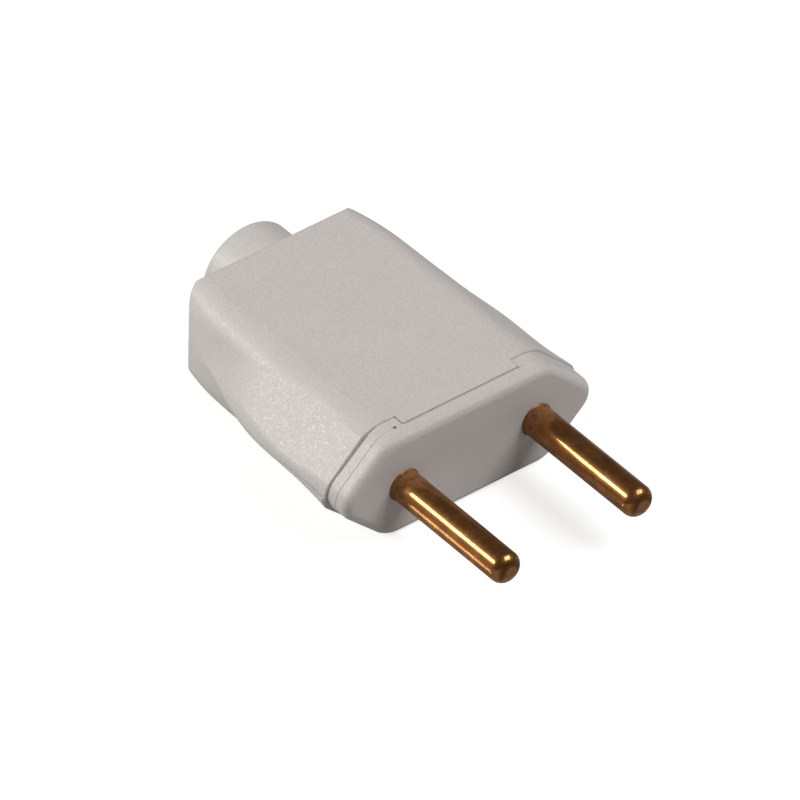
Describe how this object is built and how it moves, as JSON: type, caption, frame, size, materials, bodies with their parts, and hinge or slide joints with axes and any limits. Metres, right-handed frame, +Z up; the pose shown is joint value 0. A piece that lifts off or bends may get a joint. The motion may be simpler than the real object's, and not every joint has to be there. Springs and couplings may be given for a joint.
{
  "type": "two-pin plug",
  "caption": "Rewirable mains plug with two straight round pins, a flattened six-sided grip body split along its sides and a round cord inlet.",
  "frame": {"origin": "midway between the two pins on the flat face that meets the socket", "axes": "pins point along -Y, +X is to the right seen from behind the plug, +Z is up out of the unmarked flat side"},
  "size_m": [0.0368, 0.0604, 0.0142],
  "materials": {
    "shell_plastic": "fine spark-eroded grain",
    "plate_plastic": "fine spark-eroded grain",
    "holder_plastic": "fine grain",
    "pin_brass": "tarnished, polished along the shank",
    "screw_steel": "zinc plated",
    "clamp_plastic": "plain"
  },
  "bodies": {
    "root": {"upper_shell": "shell_plastic", "lower_shell": "shell_plastic", "front_plate": "plate_plastic", "pin_holder": "holder_plastic", "left_pin": "pin_brass", "right_pin": "pin_brass", "left_terminal_screw": "screw_steel", "right_terminal_screw": "screw_steel", "cord_clamp": "clamp_plastic", "left_clamp_screw": "screw_steel", "right_clamp_screw": "screw_steel", "housing_screw": "screw_steel"}
  },
  "joints": []
}
